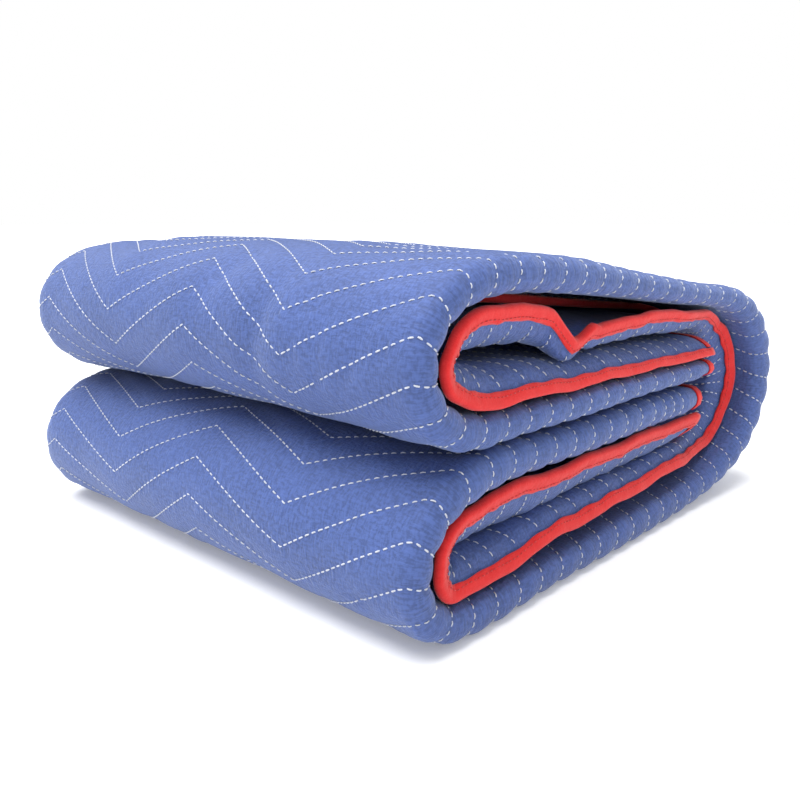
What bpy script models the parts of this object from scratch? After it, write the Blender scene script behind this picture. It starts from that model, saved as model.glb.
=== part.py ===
"""Quilted moving blanket, folded in four widthwise and in four lengthwise, with bound edges."""

import math

import bpy
import numpy as np
from mathutils import Matrix

# Sizes of the folded blanket and of its cloth, in metres
WIDTH = 0.560
DEPTH = 0.484
SHEET = 0.011
PITCH = 0.014
EDGE_SHEET = 0.0058
BINDING_REACH = 0.009
BINDING_TAPER = 0.028
BINDING_WALL = 0.0014
BINDING_GAP = 0.0003
SMALL_FOLD = PITCH / 2
LARGE_FOLD = 1.5 * PITCH
EDGE_BACK = 0.078
FLARE_RADIUS = 0.024
FLARE_TURN = math.radians(70)
FLARE_TAIL = 0.002
TIP_BACK = 0.006

# Quilting: zigzag lines along the depth, raised as ridges on the outer face
ZIGZAG_HALF = 0.109
ZIGZAG_RISE = 0.040
ZIGZAG_START = 0.008
ZIGZAG_TURNS = 5
ZIGZAG_ROOM = 0.09
NEAR_FADE = 0.010
FAR_FADE = 0.030
RIDGE_STEP = 0.0305
RIDGE_UP = 0.0006
RIDGE_DOWN = 0.0020
PRESSED_SHARE = 0.25

# Where the underside lies on the floor, and how the section is divided
FLOOR_SNAP = 0.0022
UNDERSIDE = 0.028
FOLD_STEPS = {1: 2, 3: 4, 5: 3, 7: 2}
NEAR_ROLL = 3
OUTER_PANEL = 4
INNER_PANEL = 6
PLAIN_PANELS = (0, 2, INNER_PANEL)
LEAST_STEP = 0.0012
LEAST_TURN_STEP = 0.006

# Middle line of the folded strip seen from the near end, from one cut end to the other.
# Columns: x from the left lobe, height, thickness factor.
STRIP = (
    (0.401, 0.1405, 0.72),
    (0.330, 0.1410, 0.74),
    (0.240, 0.1430, 0.80),
    (0.150, 0.1445, 0.86),
    (0.095, 0.1460, 0.92),
    (0.058, 0.149, 1.00),
    (0.034, 0.162, 1.00),
    (0.0265, 0.180, 1.00),
    (0.036, 0.199, 1.00),
    (0.062, 0.211, 1.00),
    (0.110, 0.2135, 1.00),
    (0.180, 0.208, 1.02),
    (0.260, 0.199, 0.92),
    (0.340, 0.190, 0.85),
    (0.398, 0.184, 0.79),
    (0.448, 0.172, 0.96),
    (0.482, 0.141, 1.30),
    (0.491, 0.105, 1.45),
    (0.477, 0.070, 1.30),
    (0.441, 0.044, 1.10),
    (0.390, 0.031, 1.02),
    (0.310, 0.028, 1.06),
    (0.200, 0.028, 1.06),
    (0.110, 0.028, 1.06),
    (0.058, 0.0285, 1.06),
    (0.031, 0.037, 1.06),
    (0.0235, 0.057, 1.06),
    (0.036, 0.079, 1.06),
    (0.067, 0.0905, 1.06),
    (0.130, 0.0915, 1.06),
    (0.220, 0.091, 1.04),
    (0.310, 0.091, 1.04),
    (0.382, 0.091, 1.02),
)

# How the middle of the stack swells against its near and far end, seen along the depth.
# Columns: share of the depth, push of the spine, rise of the top.
SWELLING = (
    (0.00, 0.000, 0.000),
    (0.32, 0.026, 0.006),
    (0.70, 0.034, 0.007),
    (1.00, 0.012, -0.002),
)
TOP = 0.240

# The near end isn't quite square: at the spine it stands out by this much
SPREAD = 0.018

# How the second long edge lies, unlike an even line.
# Columns: place along the outermost panel, slip of the edge into the fold, step back of the edge
# from the near end, sag of the cloth behind the edge into the fold.
EDGE_LIE = (
    (0.30, 0.000, 0.000, 0.000),
    (0.38, -0.002, 0.000, 0.000),
    (0.48, 0.000, 0.000, 0.000),
    (0.555, 0.002, 0.000, 0.001),
    (0.590, 0.007, 0.001, 0.005),
    (0.620, 0.025, 0.002, 0.010),
    (0.642, 0.021, 0.003, 0.011),
    (0.680, 0.015, 0.001, 0.010),
    (0.72, 0.006, 0.000, 0.007),
    (0.80, 0.002, 0.000, 0.002),
    (0.86, 0.002, 0.009, 0.000),
    (0.91, 0.002, 0.019, 0.000),
    (0.98, 0.000, 0.018, 0.000),
    (1.04, 0.000, 0.019, 0.000),
    (1.12, 0.003, 0.016, 0.000),
    (1.17, 0.010, 0.010, 0.000),
    (1.21, 0.015, 0.003, 0.000),
    (1.30, 0.012, 0.000, 0.000),
    (1.42, 0.009, 0.000, 0.000),
    (1.47, 0.004, 0.000, 0.000),
    (1.54, -0.001, 0.000, 0.000),
    (1.66, -0.002, 0.000, 0.003),
    (1.74, -0.002, 0.000, 0.006),
    (1.90, -0.002, 0.000, 0.006),
    (1.97, -0.002, 0.000, 0.001),
)
EDGE_REACH = 0.046
EDGE_HELD = 0.010
SAG_REACH = 0.125
SAG_FULL = 0.040
SAG_END = 0.012

# Panels and folds across the width of the strip, from the first long edge to the second.
# Columns: straight length or radius of the fold, turn in degrees (0 for a straight panel).
NEAR = -DEPTH / 2
NEAR_CENTRE = NEAR + SMALL_FOLD + SHEET / 2
FAR_CENTRE = DEPTH / 2 - LARGE_FOLD - SHEET / 2
PANEL = FAR_CENTRE - NEAR_CENTRE
FLARE_START = TIP_BACK + FLARE_RADIUS * math.sin(FLARE_TURN) + FLARE_TAIL * math.cos(FLARE_TURN)
ACROSS = (
    (FAR_CENTRE - NEAR - EDGE_BACK, 0),
    (SMALL_FOLD, 180),
    (PANEL, 0),
    (SMALL_FOLD, -180),
    (PANEL, 0),
    (LARGE_FOLD, -180),
    (FAR_CENTRE - NEAR - FLARE_START, 0),
    (FLARE_RADIUS, -math.degrees(FLARE_TURN)),
    (FLARE_TAIL, 0),
)

COLOURS = {
    "quilted_pad": (0.075, 0.135, 0.42, 1.0),
    "binding_side_1": (0.72, 0.028, 0.022, 1.0),
    "binding_side_2": (0.72, 0.028, 0.022, 1.0),
    "binding_end_1": (0.72, 0.028, 0.022, 1.0),
    "binding_end_2": (0.72, 0.028, 0.022, 1.0),
}


def spline(knots, values, at):
    """Natural cubic curve through the values, read at the given places."""
    gap = np.diff(knots)
    slope = np.diff(values) / gap
    count = len(knots)
    system = np.eye(count)
    right = np.zeros(count)
    for i in range(1, count - 1):
        system[i, i - 1 : i + 2] = (gap[i - 1], 2 * (gap[i - 1] + gap[i]), gap[i])
        right[i] = 6 * (slope[i] - slope[i - 1])
    bend = np.linalg.solve(system, right)
    i = np.clip(np.searchsorted(knots, at) - 1, 0, count - 2)
    left = at - knots[i]
    rest = knots[i + 1] - at
    return (
        (bend[i] * rest**3 + bend[i + 1] * left**3) / (6 * gap[i])
        + (values[i] / gap[i] - bend[i] * gap[i] / 6) * rest
        + (values[i + 1] / gap[i] - bend[i + 1] * gap[i] / 6) * left
    )


class Strip:
    """The middle line of the strip, its outward normal and its length."""

    def __init__(self):
        table = np.array(STRIP)
        step = np.hypot(np.diff(table[:, 0]), np.diff(table[:, 1]))
        knots = np.concatenate([[0], np.cumsum(step)])
        fine = np.linspace(0, knots[-1], 4001)
        x = spline(knots, table[:, 0], fine) - WIDTH / 2
        z = spline(knots, table[:, 1], fine)
        swell = np.interp(fine, knots, table[:, 2])
        self.s = np.concatenate([[0], np.cumsum(np.hypot(np.diff(x), np.diff(z)))])
        self.x, self.z, self.swell = x, z, swell
        tx = np.gradient(x, self.s)
        tz = np.gradient(z, self.s)
        size = np.hypot(tx, tz)
        self.nx, self.nz = -tz / size, tx / size
        turn = np.unwrap(np.arctan2(tz, tx))
        self.curve = -np.gradient(turn, self.s)
        outer = 1 + np.clip(self.curve * LARGE_FOLD, -0.5, 3)
        self.outer = np.concatenate([[0], np.cumsum((outer[1:] + outer[:-1]) / 2 * np.diff(self.s))])
        self.length = self.s[-1]

    def at(self, s):
        """Point, outward normal and thickness factor at a distance along the middle line."""
        inside = np.clip(s, 0, self.length)
        x, z = np.interp(inside, self.s, self.x), np.interp(inside, self.s, self.z)
        nx, nz = np.interp(inside, self.s, self.nx), np.interp(inside, self.s, self.nz)
        beyond = s - inside
        return x + beyond * nz, z - beyond * nx, nx, nz, np.interp(inside, self.s, self.swell)

    def from_outer(self, distance):
        """Distance along the middle line for a distance measured along the outermost panel."""
        return np.interp(distance, self.outer, self.s)


class Across:
    """The folded line across the strip: depth, offset from the middle, and normal, by distance."""

    def __init__(self):
        self.rows = []
        y, n, angle, start = NEAR + EDGE_BACK, -SMALL_FOLD, 0.0, 0.0
        for size, turn in ACROSS:
            swing = math.radians(turn)
            length = size * abs(swing) if turn else size
            self.rows.append((start, length, size, swing, y, n, angle))
            if turn:
                side = math.copysign(1, turn)
                cy, cn = y - side * size * math.sin(angle), n + side * size * math.cos(angle)
                angle += swing
                y, n = cy + side * size * math.sin(angle), cn - side * size * math.cos(angle)
            else:
                y, n = y + size * math.cos(angle), n + size * math.sin(angle)
            start += length
        self.length = start

    def at(self, w, h):
        """Depth and offset of a point a height h over the middle of the sheet."""
        for start, length, size, swing, y, n, angle in self.rows:
            if w <= start + length or start + length >= self.length:
                break
        along = w - start
        if swing:
            side = math.copysign(1, swing)
            cy, cn = y - side * size * math.sin(angle), n + side * size * math.cos(angle)
            now = angle + side * along / size
            y, n = cy + side * size * math.sin(now), cn - side * size * math.cos(now)
        else:
            now = angle
            y, n = y + along * math.cos(now), n + along * math.sin(now)
        return y - h * math.sin(now), n + h * math.cos(now)


STRIP_LINE = Strip()
ACROSS_LINE = Across()


def soft_step(low, high, value):
    """0 below low, 1 above high, and a soft step between."""
    t = min(1.0, max(0.0, (value - low) / (high - low)))
    return t * t * (3 - 2 * t)


def edge_lie(s, w):
    """How far the cloth near the second long edge lies into the fold and back from the near end."""
    from_edge = ACROSS_LINE.length - w
    if from_edge > SAG_REACH:
        return 0.0, 0.0
    table = np.array(EDGE_LIE)
    place_along = np.interp(s, STRIP_LINE.s, STRIP_LINE.outer)
    slip, back, sag = (np.interp(place_along, table[:, 0], table[:, k]) for k in (1, 2, 3))
    held = 1 - soft_step(EDGE_HELD, EDGE_REACH, from_edge)
    sagging = soft_step(SAG_END, SAG_FULL, from_edge) * (1 - soft_step(SAG_FULL, SAG_REACH, from_edge))
    return held * slip + sagging * sag, held * back


def place(s, w, h):
    """Where the folded sheet holds the point s along the strip, w across it and h over its middle."""
    y, n = ACROSS_LINE.at(w, h)
    into, back = edge_lie(s, w)
    y, n = y + back, n - into
    x, z, nx, nz, swell = STRIP_LINE.at(s)
    x, z = x + swell * n * nx, z + swell * n * nz
    table = np.array(SWELLING)
    depth = (y - NEAR) / DEPTH
    right = max(0.0, x / (WIDTH / 2)) ** 2
    x += right * np.interp(depth, table[:, 0], table[:, 1])
    y -= right * SPREAD * (1 - depth)
    z += max(0.0, z / TOP) * np.interp(depth, table[:, 0], table[:, 2])
    return np.array((x, y, z))


def on_floor(point):
    """The underside rests flat: whatever comes down to the floor lies on it."""
    if point[2] < FLOOR_SNAP:
        point[2] = 0.0
    return point


def stations():
    """Distances across the sheet at which its section has points."""
    found = []
    inner = [NEAR + DEPTH * row[0] for row in SWELLING[1:-1]]
    for i, (start, length, size, swing, y, n, angle) in enumerate(ACROSS_LINE.rows):
        if swing:
            found += [start + length * k / FOLD_STEPS[i] for k in range(FOLD_STEPS[i] + 1)]
        elif i == OUTER_PANEL:
            found += [start + (at - y) / math.cos(angle) for at in inner]
        elif i in PLAIN_PANELS:
            found.append(start - y / math.cos(angle))
    total = ACROSS_LINE.length
    found += [0.0, BINDING_REACH, total - BINDING_TAPER, total - BINDING_REACH, total]
    kept = []
    for value in sorted(found):
        if not kept or value - kept[-1] > LEAST_STEP:
            kept.append(value)
    return kept


def outer_stations():
    """The same with more points on the outermost panel, at the turns of the zigzag."""
    shared = stations()
    start, length, size, swing, y, n, angle = ACROSS_LINE.rows[OUTER_PANEL]
    more = []
    for k in range(1, ZIGZAG_TURNS):
        at = start + NEAR + ZIGZAG_START + k * ZIGZAG_HALF - y
        if all(abs(at - other) > LEAST_TURN_STEP for other in shared) and start < at < start + length:
            more.append(at)
    return sorted(shared + more)


def half_sheet(s, w):
    """Half the thickness of the pad, less near the bound edges."""
    edge = min(s, STRIP_LINE.length - s, w, ACROSS_LINE.length - w)
    rise = (edge - BINDING_REACH) / (BINDING_TAPER - BINDING_REACH)
    rise = min(1.0, max(0.0, rise))
    return (EDGE_SHEET + (SHEET - EDGE_SHEET) * rise) / 2


def zigzag(w):
    """How far a quilting line is carried along the strip at this place on the outer panel."""
    start = ACROSS_LINE.rows[NEAR_ROLL][0]
    end = ACROSS_LINE.rows[INNER_PANEL][0]
    if not start < w < end:
        return 0.0
    y = ACROSS_LINE.at(w, 0)[0] - NEAR - ZIGZAG_START
    wave = 2 * abs((y / ZIGZAG_HALF) % 2 - 1) - 1
    fade = min(1.0, (w - start) / NEAR_FADE, (end - w) / FAR_FADE)
    return wave * ZIGZAG_RISE / 2 * fade


def ridge(row, w, s):
    """Quilting height on the outer panel: every second row is a seam."""
    start = ACROSS_LINE.rows[NEAR_ROLL][0]
    end = ACROSS_LINE.rows[INNER_PANEL][0]
    if not start <= w <= end:
        return 0.0
    x, z, nx, nz, swell = STRIP_LINE.at(s)
    pressed = z < UNDERSIDE + LEAST_STEP and nz < 0
    share = PRESSED_SHARE if pressed else 1.0
    return -RIDGE_DOWN * share if row % 2 else RIDGE_UP * share


def row_places():
    """Distances along the strip of the section's rows."""
    total = STRIP_LINE.outer[-1]
    first, last = BINDING_TAPER, total - BINDING_TAPER
    count = round((last - first) / RIDGE_STEP)
    middle = [first + (last - first) * k / count for k in range(count + 1)]
    ends = [0.0, BINDING_REACH]
    wanted = ends + middle + [total - e for e in reversed(ends)]
    return [float(STRIP_LINE.from_outer(v)) for v in wanted]


def add_object(name, points, faces):
    """One closed body with its own material, its faces pointing outwards."""
    points = np.array(points)
    volume = 0.0
    for face in faces:
        a = points[face[0]]
        for k in range(1, len(face) - 1):
            volume += np.dot(a, np.cross(points[face[k]], points[face[k + 1]]))
    if volume < 0:
        faces = [face[::-1] for face in faces]
    mesh = bpy.data.meshes.new(name)
    mesh.from_pydata(points.tolist(), [], faces)
    mesh.update()
    obj = bpy.data.objects.new(name, mesh)
    bpy.context.scene.collection.objects.link(obj)
    material = bpy.data.materials.new(name)
    material.use_nodes = True
    shader = material.node_tree.nodes["Principled BSDF"]
    shader.inputs["Base Color"].default_value = COLOURS[name]
    shader.inputs["Roughness"].default_value = 0.9
    mesh.materials.append(material)
    return obj


def walls(rings, other_way=False, sheared=()):
    """The triangles between rings of the same number of points, shorter diagonals on the sheared ones."""
    size = len(rings[0])
    faces = []
    for i in range(len(rings) - 1):
        for j in range(size):
            k = (j + 1) % size
            turned = other_way
            if j in sheared:
                across = np.linalg.norm(rings[i][j] - rings[i + 1][k])
                turned = np.linalg.norm(rings[i][k] - rings[i + 1][j]) < across
            a, b = i * size + j, i * size + k
            c, d = b + size, a + size
            faces += [(a, b, d), (b, c, d)] if turned else [(a, b, c), (a, c, d)]
    return faces


def make_pad():
    """The folded quilted sheet."""
    rows = row_places()
    below = stations()
    above = outer_stations()
    total = STRIP_LINE.length
    rings = []
    for i, s in enumerate(rows):
        room = min(1.0, max(0.0, (min(s, total - s) - BINDING_REACH) / ZIGZAG_ROOM))
        top = []
        bottom = []
        for w in above:
            raised = ridge(i, w, s) if 2 <= i < len(rows) - 2 else 0.0
            top.append(on_floor(place(s + zigzag(w) * room, w, half_sheet(s, w) + raised)))
        for w in below:
            bottom.append(on_floor(place(s, w, -half_sheet(s, w))))
        rings.append(top + bottom[::-1])
    outside = ACROSS_LINE.rows[NEAR_ROLL][0], ACROSS_LINE.rows[INNER_PANEL][0]
    sheared = [j for j, w in enumerate(above) if outside[0] <= w < outside[1]]
    faces = walls(rings, sheared=sheared)
    size = len(rings[0])
    for base in (0, (len(rings) - 1) * size):
        for k in range(len(below) - 1):
            first, last = above.index(below[k]), above.index(below[k + 1])
            cap = [base + j for j in range(first, last + 1)]
            cap += [base + size - 2 - k, base + size - 1 - k]
            faces.append(tuple(cap) if base else tuple(cap[::-1]))
    return add_object("quilted_pad", [p for ring in rings for p in ring], faces)


def channel(reaches):
    """Section of a folded tape: distance in from the edge and height, outside then inside."""
    wall, gap, half = BINDING_WALL, BINDING_GAP, EDGE_SHEET / 2
    far = half + gap + wall
    tip = half + gap + 0.6 * wall
    outside = [(e, far) for e in reaches] + [(-gap - wall, tip), (-gap - wall, -tip)]
    outside += [(e, -far) for e in reversed(reaches)]
    inside = [(e, -half - gap) for e in reaches] + [(-gap, -half - gap), (-gap, half + gap)]
    inside += [(e, half + gap) for e in reversed(reaches)]
    return outside + inside


def make_side_binding(name, second):
    """The tape over one long edge, following the strip."""
    total = ACROSS_LINE.length
    reaches = [BINDING_REACH]
    if second:
        reaches = [total - w for w in stations() if total - BINDING_REACH - 1e-6 < w < total - 1e-6]
    rings = []
    for s in row_places():
        ring = []
        for e, h in channel(reaches):
            ring.append(on_floor(place(s, total - e if second else e, h)))
        rings.append(ring)
    return add_channel(name, rings, second)


def make_end_binding(name, second):
    """The tape over one cut end, following the folds across the strip."""
    total = STRIP_LINE.length
    first = BINDING_REACH + 2 * BINDING_GAP
    last = ACROSS_LINE.length - first
    across = [first] + [w for w in stations() if first + 0.002 < w < last - 0.002] + [last]
    rings = []
    for w in across:
        ring = []
        for e, h in channel([BINDING_REACH]):
            ring.append(on_floor(place(total - e if second else e, w, h)))
        rings.append(ring)
    return add_channel(name, rings, second)


def add_channel(name, rings, other_way):
    """A closed tape from its sections, as many points outside as inside."""
    size = len(rings[0])
    faces = walls(rings, other_way)
    for base in (0, (len(rings) - 1) * size):
        for k in range(size // 2 - 1):
            quad = (base + k, base + k + 1, base + size - 2 - k, base + size - 1 - k)
            faces.append(quad if base else quad[::-1])
    return add_object(name, [p for ring in rings for p in ring], faces)


def main():
    for obj in list(bpy.data.objects):
        bpy.data.objects.remove(obj, do_unlink=True)
    pieces = [make_pad()]
    pieces.append(make_side_binding("binding_side_1", False))
    pieces.append(make_side_binding("binding_side_2", True))
    pieces.append(make_end_binding("binding_end_1", False))
    pieces.append(make_end_binding("binding_end_2", True))
    corners = np.array([vertex.co for vertex in pieces[0].data.vertices])
    middle = (corners.min(axis=0) + corners.max(axis=0)) / 2
    for piece in pieces:
        piece.data.transform(Matrix.Translation((-middle[0], -middle[1], 0.0)))


main()
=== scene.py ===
"""Looks of a folded quilted moving blanket: padded sheet, edge tapes, quilting thread and a plain stage."""

import math

import bpy
import numpy as np
from bpy.props import FloatProperty, FloatVectorProperty, IntProperty, PointerProperty
from mathutils import Matrix, Vector


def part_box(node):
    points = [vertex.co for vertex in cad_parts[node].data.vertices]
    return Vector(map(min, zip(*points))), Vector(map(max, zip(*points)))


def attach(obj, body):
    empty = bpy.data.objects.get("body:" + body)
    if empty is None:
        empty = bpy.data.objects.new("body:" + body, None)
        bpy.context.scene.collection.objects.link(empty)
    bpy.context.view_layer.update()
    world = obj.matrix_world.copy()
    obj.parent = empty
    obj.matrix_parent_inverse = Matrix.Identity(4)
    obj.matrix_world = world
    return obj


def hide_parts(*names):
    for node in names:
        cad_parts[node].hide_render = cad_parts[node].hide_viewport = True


bl_info = {
    "name": "Folded quilted moving blanket",
    "version": (1, 0, 0),
    "blender": (4, 5, 0),
    "location": "3D View > Sidebar > Blanket",
    "description": "Builds the quilted pad, its edge tapes, the quilting thread and a plain stage",
    "category": "Object",
}

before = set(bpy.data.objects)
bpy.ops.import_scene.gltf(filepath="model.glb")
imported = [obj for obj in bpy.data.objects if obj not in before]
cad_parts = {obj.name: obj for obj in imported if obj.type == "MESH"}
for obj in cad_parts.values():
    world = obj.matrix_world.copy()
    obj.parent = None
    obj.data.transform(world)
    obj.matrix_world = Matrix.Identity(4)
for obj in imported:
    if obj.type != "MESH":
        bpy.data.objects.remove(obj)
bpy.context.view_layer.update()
PAD_LOW, PAD_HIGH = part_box("quilted_pad")

# Middle line of the folded strip seen from the near end, from one cut end to the other.
# Columns: x from the left lobe, height, thickness factor.
STRIP = (
    (0.401, 0.1405, 0.72),
    (0.330, 0.1410, 0.74),
    (0.240, 0.1430, 0.80),
    (0.150, 0.1445, 0.86),
    (0.095, 0.1460, 0.92),
    (0.058, 0.149, 1.00),
    (0.034, 0.162, 1.00),
    (0.0265, 0.180, 1.00),
    (0.036, 0.199, 1.00),
    (0.062, 0.211, 1.00),
    (0.110, 0.2135, 1.00),
    (0.180, 0.208, 1.02),
    (0.260, 0.199, 0.92),
    (0.340, 0.190, 0.85),
    (0.398, 0.184, 0.79),
    (0.448, 0.172, 0.96),
    (0.482, 0.141, 1.30),
    (0.491, 0.105, 1.45),
    (0.477, 0.070, 1.30),
    (0.441, 0.044, 1.10),
    (0.390, 0.031, 1.02),
    (0.310, 0.028, 1.06),
    (0.200, 0.028, 1.06),
    (0.110, 0.028, 1.06),
    (0.058, 0.0285, 1.06),
    (0.031, 0.037, 1.06),
    (0.0235, 0.057, 1.06),
    (0.036, 0.079, 1.06),
    (0.067, 0.0905, 1.06),
    (0.130, 0.0915, 1.06),
    (0.220, 0.091, 1.04),
    (0.310, 0.091, 1.04),
    (0.382, 0.091, 1.02),
)
WIDTH = 0.560
DEPTH = 0.484
TOP = 0.240

# How the middle of the stack swells against its near and far end.
# Columns: share of the depth, push of the spine, rise of the top.
SWELLING = np.array(
    (
        (0.00, 0.000, 0.000),
        (0.32, 0.026, 0.006),
        (0.70, 0.034, 0.007),
        (1.00, 0.012, -0.002),
    )
)

# How far the near end of the spine spreads out, how far its far end rises, and the shares of the
# depth between which it rises
SPREAD = 0.018
FAR_RISE = 0.012
FAR_RISE_FROM = 0.30
FAR_RISE_TO = 0.95

# The cloth and how its panels turn, in metres
SHEET = 0.011
EDGE_SHEET = 0.0044
PITCH = 0.014
SMALL_FOLD = PITCH / 2
LARGE_FOLD = 1.5 * PITCH
EDGE_BACK = 0.078
FLARE_RADIUS = 0.024
FLARE_TURN = math.radians(70)
FLARE_TAIL = 0.002
TIP_BACK = 0.006
TAPE_TAPER = 0.019
NEAR = -DEPTH / 2
NEAR_CENTRE = NEAR + SMALL_FOLD + SHEET / 2
FAR_CENTRE = DEPTH / 2 - LARGE_FOLD - SHEET / 2
PANEL = FAR_CENTRE - NEAR_CENTRE
FLARE_START = TIP_BACK + FLARE_RADIUS * math.sin(FLARE_TURN) + FLARE_TAIL * math.cos(FLARE_TURN)

# Panels and folds across the strip, from the first long edge to the second.
# Columns: straight length or radius of the fold, turn in degrees (0 for a straight panel).
ACROSS = (
    (FAR_CENTRE - NEAR - EDGE_BACK, 0),
    (SMALL_FOLD, 180),
    (PANEL, 0),
    (SMALL_FOLD, -180),
    (PANEL, 0),
    (LARGE_FOLD, -180),
    (FAR_CENTRE - NEAR - FLARE_START, 0),
    (FLARE_RADIUS, -math.degrees(FLARE_TURN)),
    (FLARE_TAIL, 0),
)
NEAR_ROLL = 3
OUTER_PANEL = 4
FAR_FOLD = 5
INNER_PANEL = 6

# Points across the cloth. Columns: panel or fold, share of it where the stretch ends,
# points on the upper face, how many of them the lower face leaves out between two that it shares.
GRID = (
    (0, 0.12, 7, 1),
    (0, 1.00, 9, 2),
    (1, 1.00, 4, 1),
    (2, 0.85, 8, 1),
    (2, 1.00, 6, 1),
    (3, 1.00, 10, 1),
    (4, 0.16, 12, 2),
    (4, 1.00, 44, 3),
    (5, 1.00, 12, 2),
    (6, 0.74, 9, 2),
    (6, 1.00, 15, 2),
    (7, 1.00, 8, 1),
    (8, 1.00, 1, 0),
)
# Where the rows lie between two quilting seams, in shares of the seam spacing
ROW_SHARES = (0.0, 0.12, 0.30, 0.50, 0.70, 0.88)

# How the zigzag lines run along the strip, because it isn't folded quite square.
# Columns: place along the outermost panel, tilt along the depth, rise of the zigzag.
QUILTING = np.array(
    (
        (0.00, 0.00, 0.054),
        (0.36, 0.045, 0.054),
        (0.55, 0.045, 0.054),
        (1.00, 0.00, 0.054),
        (1.45, -0.10, 0.048),
        (1.70, -0.10, 0.044),
        (2.01, -0.05, 0.050),
    )
)

# How the second long edge lies, unlike an even line.
# Columns: place along the outermost panel, slip of the edge into the fold, step back of the edge
# from the near end, sag of the cloth behind the edge into the fold.
EDGE_LIE = np.array(
    (
        (0.30, 0.000, 0.000, 0.000),
        (0.38, -0.002, 0.000, 0.000),
        (0.43, 0.000, 0.000, 0.000),
        (0.49, 0.000, 0.000, 0.006),
        (0.555, 0.002, 0.000, 0.008),
        (0.590, 0.008, 0.001, 0.006),
        (0.622, 0.026, 0.002, 0.003),
        (0.634, 0.023, 0.003, 0.002),
        (0.644, 0.015, 0.001, 0.003),
        (0.656, 0.018, 0.002, 0.003),
        (0.690, 0.012, 0.001, 0.004),
        (0.73, 0.005, 0.000, 0.005),
        (0.80, 0.002, 0.000, 0.002),
        (0.86, 0.002, 0.009, 0.000),
        (0.91, 0.002, 0.019, 0.000),
        (0.98, 0.000, 0.018, 0.000),
        (1.04, 0.000, 0.019, 0.000),
        (1.12, 0.003, 0.016, 0.000),
        (1.17, 0.010, 0.010, 0.000),
        (1.21, 0.015, 0.003, 0.000),
        (1.30, 0.012, 0.000, 0.000),
        (1.42, 0.009, 0.000, 0.000),
        (1.47, 0.004, 0.000, 0.000),
        (1.54, -0.001, 0.000, 0.000),
        (1.60, -0.002, 0.000, 0.005),
        (1.66, -0.002, 0.000, 0.010),
        (1.74, -0.002, 0.000, 0.012),
        (1.90, -0.002, 0.000, 0.011),
        (1.97, -0.002, 0.000, 0.002),
    )
)

# Distances in from the second long edge: up to the first it slips in full, at the second the slip has
# died out, and the sag starts at the third, is full at the fourth and has died out at the fifth
EDGE_HELD = 0.010
EDGE_REACH = 0.046
SAG_START = 0.012
SAG_FULL = 0.040
SAG_REACH = 0.125

# Small wander of the second edge in and out of an even line, and its distance from each cut end to
# where it is full. Columns: size, waves per metre times two pi, start of the wave.
EDGE_WANDER = ((0.0010, 71, 1.0), (0.0003, 163, 4.0))
WANDER_ROOM = 0.1

# Distance from each cut end to where the zigzag has its full rise
ZIGZAG_ROOM = 0.14

# Points along the middle line when its lengths are measured
FINE_POINTS = 4001

# Valley of a seam: width of its sharp pinch, and the share of the depth that the pinch has
PINCH_WIDTH = 0.0042
PINCH_SHARE = 0.65

# Depth of the seams as a factor of the puff: everywhere, more of it round the near roll, and more of
# it in the flare of the second edge
SEAM_DEPTHS = {"flat": 0.85, "roll": 0.75, "flare": 0.5}

# Where the seams round the near roll start to be deeper, over what distance, and between which
# distances they grow shallow again
ROLL_START = -0.010
ROLL_RISE = 0.012
ROLL_FADE = (0.045, 0.075)

# Distances from the second edge between which the seams of the flare grow deeper
FLARE_RISE = (0.09, 0.05)

# Soft waves of the padded sheet: how many, their shortest and longest length, and their height
WAVE_COUNT = 7
WAVE_LENGTHS = (0.055, 0.16)
WAVE_HEIGHT = 0.0009

# Soft creases pressed into the outer face.
# Columns: place along and across at the start, then at the end, half width, depth.
CREASES = (
    (0.470, 0.085, 0.385, 0.100, 0.004, 0.0016),
    (0.455, 0.070, 0.375, 0.078, 0.004, 0.0018),
    (0.485, 0.118, 0.370, 0.150, 0.011, 0.0042),
    (0.500, 0.165, 0.430, 0.215, 0.011, 0.0030),
    (0.435, 0.030, 0.400, 0.060, 0.003, 0.0016),
    (0.455, 0.020, 0.425, 0.045, 0.003, 0.0014),
    (1.560, 0.020, 1.600, 0.060, 0.004, 0.0016),
    (1.640, 0.030, 1.600, 0.080, 0.006, 0.0018),
    (1.500, 0.190, 1.560, 0.230, 0.008, 0.0018),
)

# Room kept at the second cut end by the last pad rows, by any row from the tape's inner edge, and by
# the last quilting line
ROWS_ROOM = 0.014
TAPE_ROOM = 0.002
SEAMS_ROOM = 0.030

# Folded tape: its gap from the cloth, its overhang past the cut ends, the room of the end tapes from
# the side tapes, its lift off the cloth, and its points along the side and the end
TAPE_GAP = 0.0003
TAPE_OVERHANG = 0.001
TAPE_CLEARANCE = 0.0006
TAPE_LIFT = 0.0002
TAPE_POINTS = (420, 460)

# Unevenness of the tape: waver of its inner edge and puckers of its faces.
# Columns: size, waves per metre times two pi.
TAPE_WAVER = ((0.0005, 190), (0.0004, 71))
TAPE_PUCKER = ((0.00028, 1050), (0.00038, 410))

# Rings of four points along one stitch.
# Columns: place along it as a share of its length, girth factor, height over its line.
STITCH_RINGS = np.array(
    (
        (-0.50, 0.25, -0.0006),
        (-0.36, 0.85, 0.0001),
        (0.00, 1.00, 0.0004),
        (0.36, 0.85, 0.0001),
        (0.50, 0.25, -0.0006),
    )
)
RING_POINTS = 4

# How flat the thread lies, how far a stitch drifts in shares of the pitch, how its length varies, and
# how far apart the points of a quilting line and of a tape seam are
THREAD_FLATNESS = 0.8
STITCH_DRIFT = 0.04
STITCH_LENGTHS = (0.86, 1.08)
LINE_STEP = 0.001
TAPE_LINE_STEP = 0.002

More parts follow.
